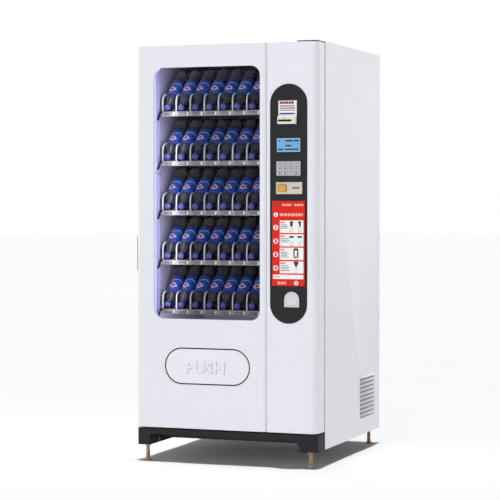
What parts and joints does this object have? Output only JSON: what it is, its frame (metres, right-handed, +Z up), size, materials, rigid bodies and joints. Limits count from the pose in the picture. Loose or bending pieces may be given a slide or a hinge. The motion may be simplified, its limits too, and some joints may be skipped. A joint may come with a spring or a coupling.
{
  "type": "snack vending machine",
  "caption": "Free-standing refrigerated vending machine with a glass door, spiral trays, a payment column with keypad and coin return, and a push flap for collecting products.",
  "frame": {"origin": "middle of the footprint, on the floor under the feet", "axes": "+Z up, -Y out of the door's front face, +X to the right seen from the front"},
  "size_m": [0.9004, 1.028, 1.948],
  "materials": {
    "white_paint": "semi-gloss powder coat",
    "black_paint": "satin",
    "charcoal_plastic": "fine grain",
    "liner_plastic": "satin moulded",
    "insulation": "smooth inner sheet",
    "white_tray": "satin",
    "rail_plastic": "satin extrusion",
    "galvanised": "galvanised sheet",
    "steel": "brushed",
    "foot_brass": "yellow zinc plated",
    "gasket_rubber": "soft magnetic seal",
    "window_glass": "clear toughened",
    "cream_plastic": "satin moulded",
    "orange_plastic": "gloss moulded",
    "red_film": "printed film",
    "screen": "lit display",
    "grey_plastic": "satin moulded",
    "handle_grey": "satin",
    "compressor_black": "satin black paint",
    "fin_aluminium": "finned",
    "fan_plastic": "moulded"
  },
  "bodies": {
    "cabinet": {"side_panel_left": "white_paint", "side_panel_right": "white_paint", "top_panel": "white_paint", "back_panel": "galvanised", "base_pan": "black_paint", "inner_liner": "insulation", "plinth": "charcoal_plastic", "hinge_plate_top": "black_paint", "hinge_plate_bottom": "black_paint", "tray_1": "white_tray", "tray_2": "white_tray", "tray_3": "white_tray", "tray_4": "white_tray", "tray_5": "white_tray", "price_rail_1": "rail_plastic", "price_rail_2": "rail_plastic", "price_rail_3": "rail_plastic", "price_rail_4": "rail_plastic", "price_rail_5": "rail_plastic", "air_duct": "liner_plastic", "evaporator": "fin_aluminium", "compressor": "compressor_black", "condenser": "fin_aluminium", "power_inlet": "charcoal_plastic"},
    "door": {"door_skin": "white_paint", "payment_panel": "white_paint", "door_liner": "liner_plastic", "door_gasket": "gasket_rubber", "window_glass": "window_glass", "window_frame": "liner_plastic", "control_fascia": "charcoal_plastic", "bill_acceptor": "cream_plastic", "display": "screen", "keypad_plate": "steel", "coin_plate": "cream_plastic", "instruction_panel": "red_film", "coin_return_cup": "grey_plastic", "coin_mech": "charcoal_plastic", "delivery_bin": "black_paint"},
    "flap": {"delivery_flap": "white_paint"},
    "coin_flap": {"coin_return_flap": "grey_plastic"},
    "coin_push": {"coin_button": "orange_plastic"},
    "handle": {"lock_handle": "handle_grey"},
    "fan": {"condenser_fan": "fan_plastic"},
    "keypad_key_1": {"key_1": "steel"},
    "keypad_key_2": {"key_2": "steel"},
    "keypad_key_3": {"key_3": "steel"},
    "keypad_key_4": {"key_4": "steel"},
    "keypad_key_5": {"key_5": "steel"},
    "keypad_key_6": {"key_6": "steel"},
    "keypad_key_7": {"key_7": "steel"},
    "keypad_key_8": {"key_8": "steel"},
    "keypad_key_9": {"key_9": "steel"},
    "keypad_key_10": {"key_10": "steel"},
    "keypad_key_11": {"key_11": "steel"},
    "keypad_key_12": {"key_12": "steel"},
    "foot_front_left_screw": {"foot_front_left": "foot_brass"},
    "foot_front_right_screw": {"foot_front_right": "foot_brass"},
    "foot_rear_left_screw": {"foot_rear_left": "foot_brass"},
    "foot_rear_right_screw": {"foot_rear_right": "foot_brass"}
  },
  "joints": [
    {"name": "door_hinge", "type": "hinge", "parent": "cabinet", "child": "door", "pos_m": [0.42775, -0.409, 0.16], "axis": [0, 0, 1], "range_deg": [0, 105]},
    {"name": "delivery_flap_hinge", "type": "hinge", "parent": "door", "child": "flap", "pos_m": [-0.08855, -0.482, 0.5235], "axis": [1, 0, 0], "range_deg": [0, 70], "stiffness_Nm_per_rad": 0.8, "springref_deg": -34.38},
    {"name": "coin_return_flap_hinge", "type": "hinge", "parent": "door", "child": "coin_flap", "pos_m": [0.32675, -0.49845, 0.7886], "axis": [1, 0, 0], "range_deg": [0, 45], "stiffness_Nm_per_rad": 0.01, "springref_deg": -34.38},
    {"name": "coin_button_press", "type": "slide", "parent": "door", "child": "coin_push", "axis": [0, 1, 0], "range_m": [0, 0.003], "stiffness_N_per_m": 300, "springref_m": -0.003},
    {"name": "lock_handle_turn", "type": "hinge", "parent": "door", "child": "handle", "pos_m": [-0.44325, -0.454, 0.9735], "axis": [1, 0, 0], "range_deg": [0, 90]},
    {"name": "condenser_fan_spin", "type": "hinge", "parent": "cabinet", "child": "fan", "pos_m": [0.36325, 0.293, 0.257], "axis": [1, 0, 0], "continuous": true},
    {"name": "key_1_press", "type": "slide", "parent": "door", "child": "keypad_key_1", "axis": [0, 1, 0], "range_m": [0, 0.002], "stiffness_N_per_m": 200, "springref_m": -0.002},
    {"name": "key_2_press", "type": "slide", "parent": "door", "child": "keypad_key_2", "axis": [0, 1, 0], "range_m": [0, 0.002], "stiffness_N_per_m": 200, "springref_m": -0.002},
    {"name": "key_3_press", "type": "slide", "parent": "door", "child": "keypad_key_3", "axis": [0, 1, 0], "range_m": [0, 0.002], "stiffness_N_per_m": 200, "springref_m": -0.002},
    {"name": "key_4_press", "type": "slide", "parent": "door", "child": "keypad_key_4", "axis": [0, 1, 0], "range_m": [0, 0.002], "stiffness_N_per_m": 200, "springref_m": -0.002},
    {"name": "key_5_press", "type": "slide", "parent": "door", "child": "keypad_key_5", "axis": [0, 1, 0], "range_m": [0, 0.002], "stiffness_N_per_m": 200, "springref_m": -0.002},
    {"name": "key_6_press", "type": "slide", "parent": "door", "child": "keypad_key_6", "axis": [0, 1, 0], "range_m": [0, 0.002], "stiffness_N_per_m": 200, "springref_m": -0.002},
    {"name": "key_7_press", "type": "slide", "parent": "door", "child": "keypad_key_7", "axis": [0, 1, 0], "range_m": [0, 0.002], "stiffness_N_per_m": 200, "springref_m": -0.002},
    {"name": "key_8_press", "type": "slide", "parent": "door", "child": "keypad_key_8", "axis": [0, 1, 0], "range_m": [0, 0.002], "stiffness_N_per_m": 200, "springref_m": -0.002},
    {"name": "key_9_press", "type": "slide", "parent": "door", "child": "keypad_key_9", "axis": [0, 1, 0], "range_m": [0, 0.002], "stiffness_N_per_m": 200, "springref_m": -0.002},
    {"name": "key_10_press", "type": "slide", "parent": "door", "child": "keypad_key_10", "axis": [0, 1, 0], "range_m": [0, 0.002], "stiffness_N_per_m": 200, "springref_m": -0.002},
    {"name": "key_11_press", "type": "slide", "parent": "door", "child": "keypad_key_11", "axis": [0, 1, 0], "range_m": [0, 0.002], "stiffness_N_per_m": 200, "springref_m": -0.002},
    {"name": "key_12_press", "type": "slide", "parent": "door", "child": "keypad_key_12", "axis": [0, 1, 0], "range_m": [0, 0.002], "stiffness_N_per_m": 200, "springref_m": -0.002},
    {"name": "foot_front_left_turn", "type": "hinge", "parent": "cabinet", "child": "foot_front_left_screw", "pos_m": [-0.39775, -0.467, 0], "axis": [0, 0, 1], "continuous": true},
    {"name": "foot_front_right_turn", "type": "hinge", "parent": "cabinet", "child": "foot_front_right_screw", "pos_m": [0.40825, -0.467, 0], "axis": [0, 0, 1], "continuous": true},
    {"name": "foot_rear_left_turn", "type": "hinge", "parent": "cabinet", "child": "foot_rear_left_screw", "pos_m": [-0.39775, 0.479, 0], "axis": [0, 0, 1], "continuous": true},
    {"name": "foot_rear_right_turn", "type": "hinge", "parent": "cabinet", "child": "foot_rear_right_screw", "pos_m": [0.40225, 0.479, 0], "axis": [0, 0, 1], "continuous": true}
  ]
}
